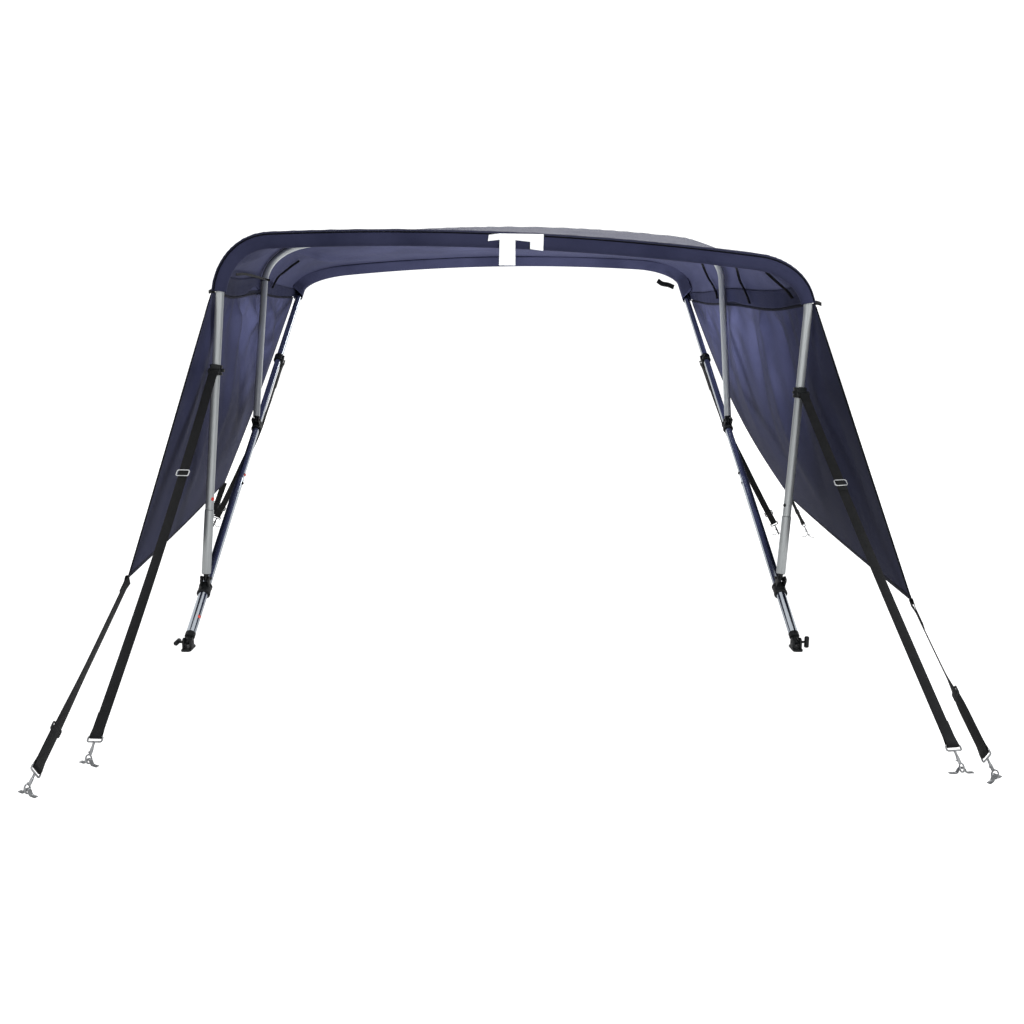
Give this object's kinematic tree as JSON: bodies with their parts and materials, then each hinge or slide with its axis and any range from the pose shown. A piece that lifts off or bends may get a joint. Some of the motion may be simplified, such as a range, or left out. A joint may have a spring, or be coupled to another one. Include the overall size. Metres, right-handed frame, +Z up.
{
  "type": "bimini top with bow frame",
  "caption": "Fabric sun canopy sewn over a folding bow frame, with zip-on side walls, hold-down straps with snap hooks and deck hinges; stands on a deck over an open cockpit.",
  "frame": {"origin": "middle of the bounding box at deck level", "axes": "+Y from the upright front bow towards the long raked rear bow, +Z up, +X to the right seen from the front"},
  "size_m": [2.822, 3.0752, 1.3205],
  "materials": {
    "cloth": "matt navy woven polyester",
    "cloth_dark": "matt dark navy woven polyester",
    "webbing": "black webbing",
    "satin_tube": "satin",
    "bright_tube": "polished",
    "fitting": "black moulded nylon",
    "steel": "bright",
    "label": "plain white"
  },
  "bodies": {
    "root": {"front_bow": "satin_tube", "front_leg_left": "satin_tube", "front_leg_right": "satin_tube", "middle_bow": "satin_tube", "main_bow": "bright_tube", "main_leg_left": "bright_tube", "main_leg_right": "bright_tube", "front_jaw_left": "fitting", "middle_jaw_left": "fitting", "front_jaw_right": "fitting", "middle_jaw_right": "fitting", "deck_hinge_left": "fitting", "eye_end_left": "fitting", "deck_hinge_right": "fitting", "eye_end_right": "fitting", "canopy": "cloth", "side_band_left": "cloth_dark", "side_band_right": "cloth_dark", "side_wall_left": "cloth", "corner_patch_left": "cloth_dark", "side_wall_right": "cloth", "corner_patch_right": "cloth_dark", "eye_slide_front_left": "fitting", "pad_eye_front_left": "steel", "hook_front_left": "steel", "strap_front_left": "webbing", "buckle_front_left": "steel", "eye_slide_front_right": "fitting", "pad_eye_front_right": "steel", "hook_front_right": "steel", "strap_front_right": "webbing", "buckle_front_right": "steel", "eye_slide_rear_left": "fitting", "pad_eye_rear_left": "steel", "hook_rear_left": "steel", "strap_rear_left": "webbing", "eye_slide_rear_right": "fitting", "pad_eye_rear_right": "steel", "hook_rear_right": "steel", "strap_rear_right": "webbing", "pad_eye_wall_front_left": "steel", "hook_wall_front_left": "steel", "strap_wall_front_left": "webbing", "pad_eye_wall_front_right": "steel", "hook_wall_front_right": "steel", "strap_wall_front_right": "webbing", "pad_eye_wall_rear_left": "steel", "hook_wall_rear_left": "steel", "strap_wall_rear_left": "webbing", "pad_eye_wall_rear_right": "steel", "hook_wall_rear_right": "steel", "strap_wall_rear_right": "webbing", "tie_left_front": "webbing", "tie_left_rear": "webbing", "tie_right_front": "webbing", "tie_right_middle": "webbing", "tie_right_rear": "webbing", "tail_rear_right": "webbing", "label": "label"}
  },
  "joints": []
}
